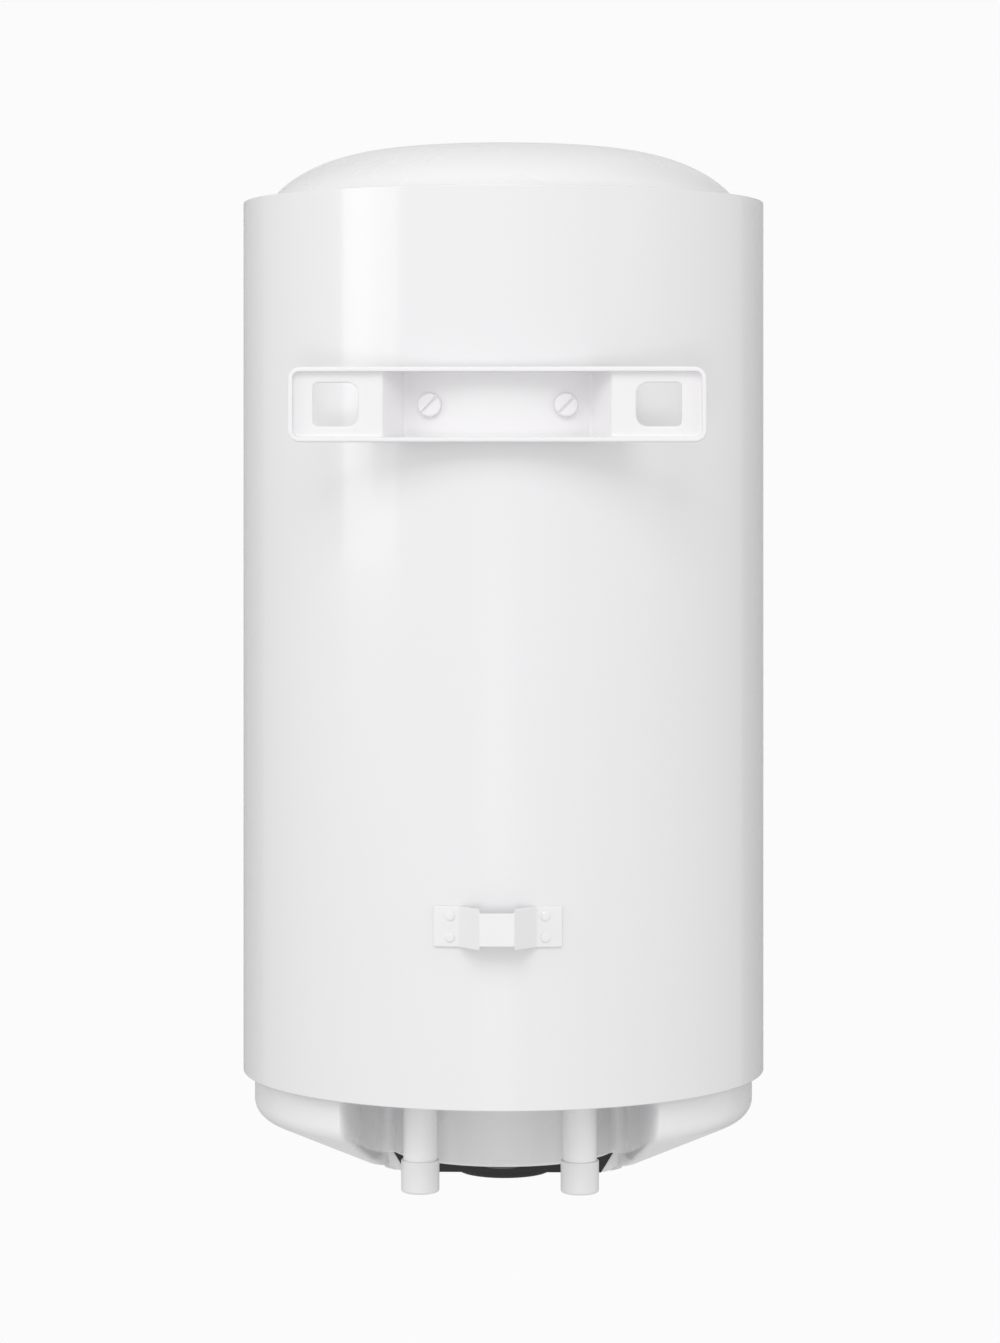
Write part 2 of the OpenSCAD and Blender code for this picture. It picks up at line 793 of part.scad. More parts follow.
module earth_wire() color("limegreen") wire([
  terminal(1, 0), terminal(1, 12), terminal(1, 22),
  [-56, axis_y - 16, rim_z - 20], [-32, axis_y - 18, plate_z - 18],
  [-30, axis_y - 18, plate_z - 8.2]
], [0, 1, 0]);

module cable_gland() color("dimgray") on_axis()
  translate([gland_at[0], gland_at[1], 0]) difference() {
    union() {
      disc(gland_r, drum_z, drum_z + 16);
      translate([0, 0, drum_z - 4.5]) cylinder(r = gland_r + 3.5, h = 4.5);
    }
    disc(gland_bore_r, drum_z - 5, drum_z + 17);
  }

module gland_nut() color("dimgray") on_axis()
  translate([gland_at[0], gland_at[1], 0]) difference() {
    translate([0, 0, drum_z + shell_t]) cylinder(r = gland_r + 4, h = 5, $fn = 6);
    disc(gland_r, drum_z, drum_z + shell_t + 6);
  }

module at_posts() {
  on_axis() for (side = [-1, 1])
    translate([side * post_at[0], post_at[1], 0]) children();
}

module cover_posts() color("silver") at_posts()
  difference() {
    disc(post_r, drum_z + shell_t, base_z);
    disc(2, drum_z + shell_t - eps, drum_z + shell_t + 14);
  }

module cover_screws() color("silver") at_posts() difference() {
  union() {
    disc(2, drum_z, drum_z + shell_t + 12);
    disc(4.2, drum_z - 2.4, drum_z);
  }
  for (turn = [0, 90]) rotate([0, 0, turn])
    block(-2.4, 2.4, -0.5, 0.5, drum_z - 3, drum_z - 1);
}

outer_casing();
top_cap();
bottom_cover();
base_plate();
insulation_foam();
inner_tank();
hanger_bosses();
hanger_bracket();
hanger_screws();
lower_spacer();
spacer_rivets();
cold_inlet_pipe();
hot_outlet_pipe();
cold_pipe_cap();
hot_pipe_cap();
pipe_grommets();
inlet_deflector();
neck_ring();
neck_studs();
flange_gasket();
flange_plate();
flange_nuts();
heating_element();
element_bushes();
element_terminals();
anode_rod();
anode_nut();
thermostat_pocket();
thermostat_probe();
thermostat_housing();
thermostat_spindle();
thermostat_knob();
cutout_button();
control_panel();
indicator_lamp();
lamp_lens();
terminal_bracket();
terminal_block();
terminal_screws();
earth_screw();
live_wire();
neutral_wire();
earth_wire();
cable_gland();
gland_nut();
cover_posts();
cover_screws();
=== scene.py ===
"""Looks of a wall-hung tank water heater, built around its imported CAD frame.

Metres, +Z up. The wall side faces +Y, and the tank's axis is upright.
"""

import json
import math

import bmesh
import bpy
from mathutils import Matrix, Vector


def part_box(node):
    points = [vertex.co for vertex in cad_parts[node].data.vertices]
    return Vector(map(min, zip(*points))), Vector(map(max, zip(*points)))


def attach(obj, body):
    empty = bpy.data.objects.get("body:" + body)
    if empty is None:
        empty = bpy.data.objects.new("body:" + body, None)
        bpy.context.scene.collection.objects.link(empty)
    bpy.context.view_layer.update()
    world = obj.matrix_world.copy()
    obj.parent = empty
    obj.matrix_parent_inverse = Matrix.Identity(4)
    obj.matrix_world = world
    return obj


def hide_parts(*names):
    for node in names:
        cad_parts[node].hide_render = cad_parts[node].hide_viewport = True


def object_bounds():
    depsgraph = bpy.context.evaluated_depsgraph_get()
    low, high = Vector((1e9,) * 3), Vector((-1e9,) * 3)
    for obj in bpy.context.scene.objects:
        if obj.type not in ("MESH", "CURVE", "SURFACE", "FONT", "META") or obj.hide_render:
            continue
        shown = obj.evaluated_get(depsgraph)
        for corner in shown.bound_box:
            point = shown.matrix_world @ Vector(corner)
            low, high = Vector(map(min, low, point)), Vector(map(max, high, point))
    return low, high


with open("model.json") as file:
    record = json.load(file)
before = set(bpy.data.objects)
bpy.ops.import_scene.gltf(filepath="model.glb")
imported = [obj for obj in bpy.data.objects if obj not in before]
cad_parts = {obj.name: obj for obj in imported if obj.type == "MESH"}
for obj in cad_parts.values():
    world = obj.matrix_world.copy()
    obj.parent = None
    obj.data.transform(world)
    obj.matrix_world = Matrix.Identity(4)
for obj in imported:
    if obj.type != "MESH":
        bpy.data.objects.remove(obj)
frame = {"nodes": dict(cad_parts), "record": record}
cad_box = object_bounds()
nodes = frame["nodes"]

# ---- sizes, from the frame and in metres ----

MM = 0.001
casing_low, casing_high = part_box("outer_casing")
AXIS_Y = (casing_low[1] + casing_high[1]) / 2
CASING_R = (casing_high[0] - casing_low[0]) / 2
RIM_Z = casing_low[2]
TOP_Z = casing_high[2]

# ---- materials ----

COAT_ROUGHNESS = 0.08
SMOOTHEST = 0.02                        # least roughness of any finish
GRAIN_DEPTH = 0.0002


def new_material(name):
    """A new material with its node tree and its main shader."""
    material = bpy.data.materials.new(name)
    material.use_nodes = True
    tree = material.node_tree
    return material, tree, tree.nodes["Principled BSDF"]


def add_noise(tree, scale, detail=3.0):
    """Soft noise over the object's own space, at a scale per metre."""
    where = tree.nodes.new("ShaderNodeTexCoord")
    noise = tree.nodes.new("ShaderNodeTexNoise")
    noise.inputs["Scale"].default_value = scale
    noise.inputs["Detail"].default_value = detail
    tree.links.new(where.outputs["Object"], noise.inputs["Vector"])
    return noise


def add_ramp(tree, source, low, high, start=0.1, end=0.9):
    """Blends from one colour to another as the source rises."""
    ramp = tree.nodes.new("ShaderNodeValToRGB")
    ramp.color_ramp.elements[0].position = start
    ramp.color_ramp.elements[0].color = (*low, 1.0)
    ramp.color_ramp.elements[1].position = end
    ramp.color_ramp.elements[1].color = (*high, 1.0)
    tree.links.new(source, ramp.inputs["Fac"])
    return ramp


def add_bump(tree, shader, source, strength, distance):
    bump = tree.nodes.new("ShaderNodeBump")
    bump.inputs["Strength"].default_value = strength
    bump.inputs["Distance"].default_value = distance
    tree.links.new(source, bump.inputs["Height"])
    tree.links.new(bump.outputs["Normal"], shader.inputs["Normal"])


def surface(name, colour, roughness, metallic=0.0, coat=0.0, vary=0.02,
            spread=0.05, noise_scale=12.0, grain=0.0, grain_scale=900.0):
    """A finish whose colour and gloss drift softly, with a fine grain if asked."""
    material, tree, shader = new_material(name)
    noise = add_noise(tree, noise_scale)
    low = tuple(max(0.0, c - vary) for c in colour)
    high = tuple(min(1.0, c + vary) for c in colour)
    tint = add_ramp(tree, noise.outputs["Fac"], low, high)
    tree.links.new(tint.outputs["Color"], shader.inputs["Base Color"])
    gloss = tree.nodes.new("ShaderNodeMapRange")
    gloss.inputs["To Min"].default_value = max(SMOOTHEST, roughness - spread)
    gloss.inputs["To Max"].default_value = roughness + spread
    tree.links.new(noise.outputs["Fac"], gloss.inputs["Value"])
    tree.links.new(gloss.outputs["Result"], shader.inputs["Roughness"])
    shader.inputs["Metallic"].default_value = metallic
    shader.inputs["Coat Weight"].default_value = coat
    shader.inputs["Coat Roughness"].default_value = COAT_ROUGHNESS
    if grain:
        fine = add_noise(tree, grain_scale, detail=2.0)
        add_bump(tree, shader, fine.outputs["Fac"], grain, GRAIN_DEPTH)
    return material


FINISHES = {
    "white_enamel": dict(colour=(0.80, 0.80, 0.81), roughness=0.22, coat=0.6, vary=0.004),
    "white_plastic": dict(colour=(0.845, 0.845, 0.85), roughness=0.28, coat=0.3, vary=0.004),
    "white_powder": dict(colour=(0.825, 0.815, 0.825), roughness=0.42, coat=0.15, vary=0.005,
                         grain=0.15),
    "white_pipe": dict(colour=(0.90, 0.90, 0.90), roughness=0.34, coat=0.3, vary=0.005),
    "cap_plastic": dict(colour=(0.80, 0.80, 0.805), roughness=0.36, vary=0.01),
    "zinc_steel": dict(colour=(0.62, 0.63, 0.65), roughness=0.34, metallic=0.9, vary=0.05,
                       noise_scale=60.0, grain=0.1),
    "foam": dict(colour=(0.78, 0.66, 0.38), roughness=0.85, vary=0.06, noise_scale=90.0,
                 grain=0.8, grain_scale=400.0),
    "tank_enamel": dict(colour=(0.03, 0.05, 0.12), roughness=0.25, coat=0.5, vary=0.01),
    "raw_steel": dict(colour=(0.20, 0.20, 0.21), roughness=0.55, metallic=0.8, vary=0.04,
                      noise_scale=80.0, grain=0.2),
    "black_rubber": dict(colour=(0.03, 0.03, 0.03), roughness=0.7, vary=0.008, grain=0.2),
    "copper": dict(colour=(0.65, 0.30, 0.17), roughness=0.32, metallic=1.0, vary=0.05,
                   noise_scale=40.0),
    "insulator": dict(colour=(0.78, 0.74, 0.64), roughness=0.35, vary=0.02),
    "magnesium": dict(colour=(0.40, 0.41, 0.42), roughness=0.6, metallic=0.7, vary=0.05,
                      noise_scale=50.0, grain=0.3),
    "stainless": dict(colour=(0.60, 0.60, 0.61), roughness=0.28, metallic=1.0, vary=0.04),
    "dark_plastic": dict(colour=(0.018, 0.018, 0.020), roughness=0.42, vary=0.004, grain=0.15),
    "red_plastic": dict(colour=(0.45, 0.02, 0.015), roughness=0.35, vary=0.02),
    "lamp_glass": dict(colour=(0.85, 0.35, 0.12), roughness=0.1, vary=0.03),
    "lens_red": dict(colour=(0.50, 0.02, 0.01), roughness=0.15, coat=0.5, vary=0.02),
    "brass": dict(colour=(0.70, 0.50, 0.20), roughness=0.3, metallic=1.0, vary=0.04),
    "wire_brown": dict(colour=(0.10, 0.035, 0.012), roughness=0.4, vary=0.01),
    "wire_blue": dict(colour=(0.01, 0.05, 0.35), roughness=0.4, vary=0.01),
    "wire_green": dict(colour=(0.06, 0.30, 0.03), roughness=0.4, vary=0.02),
    "gland_grey": dict(colour=(0.10, 0.105, 0.115), roughness=0.45, vary=0.01, grain=0.15),
}
MATERIALS = {name: surface(name, **finish) for name, finish in FINISHES.items()}


def paint(obj, slot_name):
    obj.data.materials.clear()
    obj.data.materials.append(MATERIALS[slot_name])


SLOT_OF = {part["node"]: part["material_slot"] for part in frame["record"]["subparts"]}
for node_name, node_object in nodes.items():
    paint(node_object, SLOT_OF[node_name])

# ---- mesh tools: shapes are given in millimetres from an origin in metres ----

TANK = Vector((0, AXIS_Y, RIM_Z))       # on the tank's axis, at the casing's lower rim
WALL = Vector((0, 0, 0))                # on the wall, midway between the hooks
WELD = 0.001 * MM                       # points closer than this are one point
SHARP_ANGLE = 40                        # edges that bend more, in degrees, stay sharp


def add_piece(name, verts, faces, origin):
    """A new object from points and faces, welded, without loose points."""
    mesh = bpy.data.meshes.new(name)
    mesh.from_pydata([origin + Vector(v) * MM for v in verts], [], faces)
    shape = bmesh.new()
    shape.from_mesh(mesh)
    bmesh.ops.remove_doubles(shape, verts=shape.verts, dist=WELD)
    bmesh.ops.dissolve_degenerate(shape, edges=shape.edges, dist=WELD)
    loose = [vert for vert in shape.verts if not vert.link_faces]
    bmesh.ops.delete(shape, geom=loose, context="VERTS")
    bmesh.ops.recalc_face_normals(shape, faces=shape.faces)
    shape.to_mesh(mesh)
    shape.free()
    piece = bpy.data.objects.new(name, mesh)
    bpy.context.collection.objects.link(piece)
    return piece


def apply_modifiers(piece):
    """Turns what the modifiers make into the piece's own mesh."""
    scene_state = bpy.context.evaluated_depsgraph_get()
    made = bpy.data.meshes.new_from_object(piece.evaluated_get(scene_state))
    piece.modifiers.clear()
    old = piece.data
    piece.data = made
    bpy.data.meshes.remove(old)
    made.name = piece.name


def combine(piece, other, operation):
    """Joins another piece to this one, or cuts it away, and removes the other."""
    step = piece.modifiers.new(operation, "BOOLEAN")
    step.operation = operation
    step.solver = "EXACT"
    step.object = other
    bpy.context.view_layer.update()
    apply_modifiers(piece)
    bpy.data.objects.remove(other)


def soften(piece, voxel, passes):
    """Rounds every edge and corner of a closed piece, as pressing or moulding does."""
    remesh = piece.modifiers.new("remesh", "REMESH")
    remesh.mode = "VOXEL"
    remesh.voxel_size = voxel * MM
    smooth = piece.modifiers.new("smooth", "SMOOTH")
    smooth.factor = 0.5
    smooth.iterations = passes
    bpy.context.view_layer.update()
    apply_modifiers(piece)


def smooth_shading(piece):
    """Smooth faces, with the real edges kept sharp."""
    piece.data.shade_smooth()
    piece.data.set_sharp_from_angle(angle=math.radians(SHARP_ANGLE))
    normals = piece.modifiers.new("normals", "WEIGHTED_NORMAL")
    normals.keep_sharp = True


def finish_piece(piece, slot_name, body, *replaced):
    """Gives a piece its finish and its body, and hides the CAD nodes it stands for."""
    paint(piece, slot_name)
    smooth_shading(piece)
    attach(piece, body)
    if replaced:
        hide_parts(*replaced)


def rounded(points, radii, steps=6):
    """Closed outline whose corners are rounded, each by its own radius."""
    line = []
    for i, radius in enumerate(radii):
        here = Vector(points[i])
        if not radius:
            line.append(here)
            continue
        back = (Vector(points[i - 1]) - here).normalized()
        ahead = (Vector(points[(i + 1) % len(points)]) - here).normalized()
        half = back.angle(ahead) / 2
        centre = here + (back + ahead).normalized() * (radius / math.sin(half))
        start = here + back * (radius / math.tan(half)) - centre
        end = here + ahead * (radius / math.tan(half)) - centre
        turn = math.atan2(start.x * end.y - start.y * end.x, start.dot(end))
        for k in range(steps + 1):
            c, s = math.cos(turn * k / steps), math.sin(turn * k / steps)
            line.append(centre + Vector((c * start.x - s * start.y,
                                         s * start.x + c * start.y)))
    return line


def lathe(name, outline, origin, x=0.0, y=0.0, steps=96):
    """Turns a closed outline of (radius, height) round an upright axis."""
    verts, faces = [], []
    count = len(outline)
    for i in range(steps):
        a = 2 * math.pi * i / steps
        verts += [(x + r * math.sin(a), y + r * math.cos(a), z) for r, z in outline]
        after = (i + 1) % steps
        faces += [(i * count + k, i * count + (k + 1) % count,
                   after * count + (k + 1) % count, after * count + k)
                  for k in range(count)]
    return add_piece(name, verts, faces, origin)


def prism(name, outline, low, high, origin, across=False):
    """Extrudes an outline in X and Y along Z, or one in X and Z along Y."""
    count = len(outline)
    verts = []
    for level in (low, high):
        verts += [(x, level, y) if across else (x, y, level) for x, y in outline]
    faces = [tuple(range(count)), tuple(range(count, 2 * count))]
    faces += [(k, (k + 1) % count, count + (k + 1) % count, count + k)
              for k in range(count)]
    return add_piece(name, verts, faces, origin)


def rectangle(width, height, radius, x=0.0, y=0.0):
    """Closed outline of a rectangle round a middle, with rounded corners."""
    w, h = width / 2, height / 2
    corners = [(x - w, y - h), (x + w, y - h), (x + w, y + h), (x - w, y + h)]
    return rounded(corners, [radius] * 4)


def arc(radius, start, end, steps, x=0.0, y=0.0):
    """Points on a circle, with angles in degrees from +X towards +Y."""
    return [(x + radius * math.cos(math.radians(start + (end - start) * i / steps)),
             y + radius * math.sin(math.radians(start + (end - start) * i / steps)))
            for i in range(steps + 1)]


# ---- casing and top cap ----

CASING = CASING_R / MM
CASING_H = (TOP_Z - RIM_Z) / MM
SHEET = 0.8
HEM_H = 8.0


def build_casing():
    """Sheet cylinder whose two rims are folded inwards as hems."""
    outer, inner, hem = CASING, CASING - SHEET, CASING - 2 * SHEET
    points = [(outer, 0), (outer, CASING_H), (hem, CASING_H), (hem, CASING_H - HEM_H),
              (inner, CASING_H - HEM_H), (inner, HEM_H), (hem, HEM_H), (hem, 0)]
    outline = rounded(points, [0.75, 0.75, 0.7, 0, 0, 0, 0, 0.7])
    casing = lathe("casing_skin", outline, TANK, steps=256)
    finish_piece(casing, "white_enamel", "heater", "outer_casing")


DOME_H = (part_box("top_cap")[1][2] - TOP_Z) / MM
DOME_FLAT_R = 52.0
DOME_FOOT_R = 152.0
DOME_SHELL = 2.5
DOME_OUT, DOME_UP = 2.5, 1.33           # how full the shoulder is, outwards and upwards
DOME_STEPS = 40
CAP_GAP = 0.2                           # between the cap's skirt and the casing
LEDGE_DROP = 1.5
SKIRT_H = 14.0


def dome_line(height, foot):
    """Domed crown: a flat middle with a full, falling shoulder."""
    line = []
    for i in range(DOME_STEPS + 1):
        u = math.sin(math.pi / 2 * i / DOME_STEPS)
        line.append((DOME_FLAT_R + (foot - DOME_FLAT_R) * u,
                     CASING_H + height * (1 - u ** DOME_OUT) ** (1 / DOME_UP)))
    return line


def build_top_cap():
    """Dome on a ledge, with a skirt that stands inside the casing."""
    skirt = CASING - 2 * SHEET - CAP_GAP
    ledge = CASING_H - LEDGE_DROP
    low = CASING_H - SKIRT_H
    shell = DOME_SHELL
    upper = [(0, CASING_H + DOME_H)] + dome_line(DOME_H, DOME_FOOT_R)
    foot = len(upper)
    upper += [(DOME_FOOT_R, ledge), (skirt, ledge), (skirt, low)]
    lower = [(skirt - shell, low), (skirt - shell, ledge - shell),
             (DOME_FOOT_R - shell, ledge - shell)]
    lower += dome_line(DOME_H - shell, DOME_FOOT_R - shell)[::-1]
    lower += [(0, CASING_H + DOME_H - shell)]
    radii = [0] * (len(upper) + len(lower))
    radii[foot] = 1.0
    radii[foot + 1] = 1.0
    cap = lathe("top_cap_skin", rounded(upper + lower, radii), TANK, steps=192)
    finish_piece(cap, "white_plastic", "heater", "top_cap")


# ---- bottom cover ----

COVER_R = 162.5
COVER_TURN_Z = -18.0
COVER_FILLET = 12.0
COVER_SLOPE = math.radians(23.8)
COVER_FLAT_Z = -68.0
COVER_EDGE = 3.0                        # rounding between the cone and the flat bottom
COVER_WALL = 2.3
OPENING_R = 64.3                        # round opening that the control panel closes
DRUM_R = 75.0
DRUM_Z = -52.0
DRUM_EDGE = 2.0
NOTCH_HALF = 75.2
NOTCH_FRONT = 5.0
NOTCH_FLARE = 0.156
MOUTH_IN, MOUTH_OUT = 30.0, 7.0         # reach of the rounding at the notch's mouth
CREVICE_Y = 27.0                        # where the round wall runs into the side walls
CREVICE_REACH = 6.0
PANEL_RECESS = 0.6                      # of the front wall, behind the panel's face
LIP_H = 1.5                             # of the round wall's rim above the panel
LEDGE = 0.01                            # height over which the outline steps inwards
NEARLY = 0.01                           # distance that counts as none
SOFT_SHARE = 0.7                        # most of a short wall that a rounding may take
FILLET_STEPS, CONE_STEPS, RIM_STEPS, EDGE_STEPS = 12, 22, 5, 5
DRUM_STEPS, WALL_STEPS, CORNER_STEPS, ROUND_STEPS = 34, 14, 8, 90
PANEL_Z = COVER_FLAT_Z - 0.4
PANEL_R, PANEL_TOP_HALF = 64.0, 73.0
PANEL_LAP, PANEL_SIDE_LAP = 1.5, 0.2    # how far the panel covers its opening's edge


def cover_profile():
    """(radius, height) down the cover's outside, from its hidden top edge."""
    line = [(COVER_R, z) for z in (HEM_H, 0.0, -5.0, -10.0, -14.0, COVER_TURN_Z)]
    turn = math.pi / 2 - COVER_SLOPE
    for i in range(1, FILLET_STEPS + 1):
        a = turn * i / FILLET_STEPS
        line.append((COVER_R - COVER_FILLET * (1 - math.cos(a)),
                     COVER_TURN_Z - COVER_FILLET * math.sin(a)))
    r, z = line[-1]
    reach = COVER_EDGE * math.tan(COVER_SLOPE / 2)
    end_z = COVER_FLAT_Z + reach * math.sin(COVER_SLOPE)
    levels = [z + (end_z - z) * i / CONE_STEPS for i in range(1, CONE_STEPS + 1)]
    levels += [DRUM_Z + DRUM_EDGE * (1 - math.sin(math.pi / 2 * i / RIM_STEPS))
               for i in range(RIM_STEPS + 1)]
    levels += [DRUM_Z - LEDGE, DRUM_Z - LIP_H, DRUM_Z - LIP_H - LEDGE]
    slope = math.tan(COVER_SLOPE)
    for level in sorted(set(levels), reverse=True):
        line.append((r - (z - level) / slope, level))
    end_r = line[-1][0]
    for i in range(1, EDGE_STEPS + 1):
        a = COVER_SLOPE * (1 - i / EDGE_STEPS)
        line.append((end_r - COVER_EDGE * (math.sin(COVER_SLOPE) - math.sin(a)),
                     COVER_FLAT_Z + COVER_EDGE * (1 - math.cos(a))))
    line.append((OPENING_R, COVER_FLAT_Z))
    return line


def bezier(points, t):
    """Point at a share t of the way along the curve that the points pull."""
    while len(points) > 1:
        points = [a.lerp(b, t) for a, b in zip(points, points[1:])]
    return points[0]


def notch_wall(y):
    """Point on the notch's side wall at a distance y behind the axis."""
    return Vector((NOTCH_HALF + NOTCH_FLARE * (y - NOTCH_FRONT), y))


def drum_line(drum):
    """From the back of the round wall, round it and into the side wall."""
    meet = math.degrees(math.asin(CREVICE_Y / DRUM_R))
    line = [Vector(p) for p in arc(drum, 90, meet, DRUM_STEPS)]
    turn = math.radians(meet)
    inner = notch_wall(CREVICE_Y + 2)
    leave = line[-1] + Vector((math.sin(turn), -math.cos(turn))) * CREVICE_REACH
    enter = inner - Vector((NOTCH_FLARE, 1)) * CREVICE_REACH
    curve = [line[-1], leave, enter, inner]
    return line + [bezier(curve, i / CORNER_STEPS) for i in range(1, CORNER_STEPS + 1)]


def mouth_corner(radius, front):
    """Where the cover's outside meets the notch, and the way into the notch."""
    if radius <= Vector((NOTCH_HALF, front)).length:
        return Vector((math.sqrt(radius ** 2 - front ** 2), front)), Vector((-1, 0))
    lean = notch_wall(0).x
    k = 1 + NOTCH_FLARE ** 2
    b = NOTCH_FLARE * lean
    y = (math.sqrt(b * b + k * (radius ** 2 - lean ** 2)) - b) / k
    return notch_wall(y), -Vector((NOTCH_FLARE, 1)).normalized()


def cover_slice(radius, z):
    """Right half of the cover's outline at one height, from the back to the front."""
    rise = (z - DRUM_Z) / DRUM_EDGE
    drum = DRUM_R
    if 0 <= rise < 1:
        drum -= DRUM_EDGE * (1 - math.sqrt(1 - (1 - rise) ** 2))
    line = drum_line(drum)
    front = NOTCH_FRONT if z > DRUM_Z - LIP_H - LEDGE / 2 else NOTCH_FRONT - PANEL_RECESS
    corner, inwards = mouth_corner(radius, front)
    soft, soft_out = MOUTH_IN, MOUTH_OUT
    if rise < -LEDGE / DRUM_EDGE / 2:
        inner = Vector((min(NOTCH_HALF, corner.x), front))
        if corner.x < NOTCH_HALF:
            soft = 0.5
            inner = corner + inwards * soft
        line = [Vector((p.x * inner.x / line[-1].x, front)) for p in line]
    inner = line[-1]
    soft = min(soft, SOFT_SHARE * (inner - corner).length)
    soft_out = min(soft_out, soft)
    start = corner + inwards * soft
    line += [inner.lerp(start, i / WALL_STEPS) for i in range(1, WALL_STEPS + 1)]
    ahead = math.degrees(math.atan2(corner.y, corner.x) - soft_out / radius)
    outside = [Vector(p) for p in arc(radius, ahead, -90, ROUND_STEPS)]
    curve = [start, corner, outside[0]]
    line += [bezier(curve, i / CORNER_STEPS) for i in range(1, CORNER_STEPS + 1)]
    line += outside[1:]
    return [(p.x, p.y, z) for p in line]


def behind_panel(corners):
    """Whether a face of the notch's front wall lies wholly behind the control panel."""
    top = DRUM_Z - LIP_H
    back = NOTCH_FRONT - PANEL_RECESS - NEARLY
    if all(z == COVER_FLAT_Z and y > back for _, y, z in corners):
        return True                     # no height left between the last two slices
    for x, y, z in corners:
        half = PANEL_TOP_HALF + (PANEL_R - PANEL_TOP_HALF) * (top - z) / (top - PANEL_Z)
        if y < 0 or y > NOTCH_FRONT or z > top - PANEL_LAP or abs(x) > half - PANEL_SIDE_LAP:
            return False
    return True


def build_bottom_cover():
    """Outside lofted from slices, then thickened inwards to the cover's wall."""
    verts, faces, slices = [], [], []
    for radius, z in cover_profile():
        half = cover_slice(radius, z)
        slices.append(half + [(-x, y, z) for x, y, z in half[-2:0:-1]])
    count = len(slices[0])
    for i, outline in enumerate(slices):
        verts += outline
        if i:
            faces += [((i - 1) * count + k, (i - 1) * count + (k + 1) % count,
                       i * count + (k + 1) % count, i * count + k) for k in range(count)]
    faces = [face for face in faces if not behind_panel([verts[k] for k in face])]
    cover = add_piece("bottom_cover_shell", verts, faces, TANK)
    front = min(cover.data.polygons, key=lambda face: face.center.y)
    if front.normal.y > 0:
        cover.data.flip_normals()
    thick = cover.modifiers.new("wall", "SOLIDIFY")
    thick.thickness = COVER_WALL * MM
    thick.offset = -1
    bpy.context.view_layer.update()
    apply_modifiers(cover)
    finish_piece(cover, "white_plastic", "heater", "bottom_cover")


# ---- hanger and spacer ----

HANGER_W, HANGER_H, HANGER_T = 254.0, 46.0, 2.0
BAY_D, BAY_X, SADDLE_X = 4.0, 69.5, 57.0
HANGER_CORNER = 7.5
HANGER_RIM = 3.0                        # rolled rim that rests on the wall
HOOK_SPACING, HOOK_W, HOOK_H = 196.0, 27.0, 26.0
HOOK_CORNER_IN, HOOK_CORNER_OUT = 6.0, 2.0
CUT_DEPTH = 40.0                        # deeper than the hanger's tray
AXIS = AXIS_Y / MM


def hanger_plan(inset, wall_y, end_x):
    """Plan of the hanger's tray, with slopes from the bays to the round saddle."""
    saddle_r = CASING + HANGER_T
    saddle_y = AXIS + math.sqrt(saddle_r ** 2 - SADDLE_X ** 2)
    lean = (BAY_X - SADDLE_X) / (-BAY_D - saddle_y)
    aside = inset * math.sqrt(1 + lean * lean)
    floor = -BAY_D - inset
    top_x = BAY_X + (floor + BAY_D) * lean + aside
    radius = saddle_r - inset
    low_x = SADDLE_X
    for _ in range(8):                  # settles where the slope meets the saddle
        low_y = AXIS + math.sqrt(radius ** 2 - low_x ** 2)
        low_x = BAY_X + (low_y + BAY_D) * lean + aside
    turn = math.degrees(math.acos(low_x / radius))
    saddle = arc(radius, turn, 180 - turn, 48, y=AXIS)
    return ([(-end_x, floor), (-end_x, wall_y), (end_x, wall_y), (end_x, floor),
             (top_x, floor)] + saddle + [(-top_x, floor)])


def build_hanger():
    """Pressed tray with a rolled rim, a round saddle and two hook openings."""
    tall = HANGER_H / 2
    tray = prism("hanger_tray", hanger_plan(HANGER_T, 0, HANGER_W / 2), -tall, tall, WALL)
    edge = prism("edge", rectangle(HANGER_W, HANGER_H, HANGER_CORNER), -CUT_DEPTH, 1,
                 WALL, True)
    combine(tray, edge, "INTERSECT")
    inside = prism("inside", hanger_plan(0, 1, HANGER_W / 2 - HANGER_RIM),
                   -tall + HANGER_RIM, tall - HANGER_RIM, WALL)
    edge = prism("edge", rectangle(HANGER_W - 2 * HANGER_RIM, HANGER_H - 2 * HANGER_RIM,
                                   HANGER_CORNER - HANGER_RIM), -CUT_DEPTH, 2, WALL, True)
    combine(inside, edge, "INTERSECT")
    combine(tray, inside, "DIFFERENCE")
    for side in (-1, 1):
        w, h = HOOK_W / 2, HOOK_H / 2
        middle = side * HOOK_SPACING / 2
        near, far = middle - side * w, middle + side * w
        outline = rounded([(near, -h), (far, -h), (far, h), (near, h)],
                          [HOOK_CORNER_IN, HOOK_CORNER_OUT, HOOK_CORNER_OUT, HOOK_CORNER_IN])
        hole = prism("hole", outline, -BAY_D - 5, -BAY_D + 3, WALL, True)
        combine(tray, hole, "DIFFERENCE")
    soften(tray, voxel=0.8, passes=8)
    finish_piece(tray, "white_powder", "heater", "hanger_bracket")


SPACER_Z = -318.0
SPACER_H, SPACER_T = 25.0, 1.5
SPACER_HALF, CROWN_HALF, SPACER_FOOT = 39.5, 10.5, 24.0
CROWN_NOTCH = 2.5
RIVET_X, RIVET_Z = 28.9, 6.5


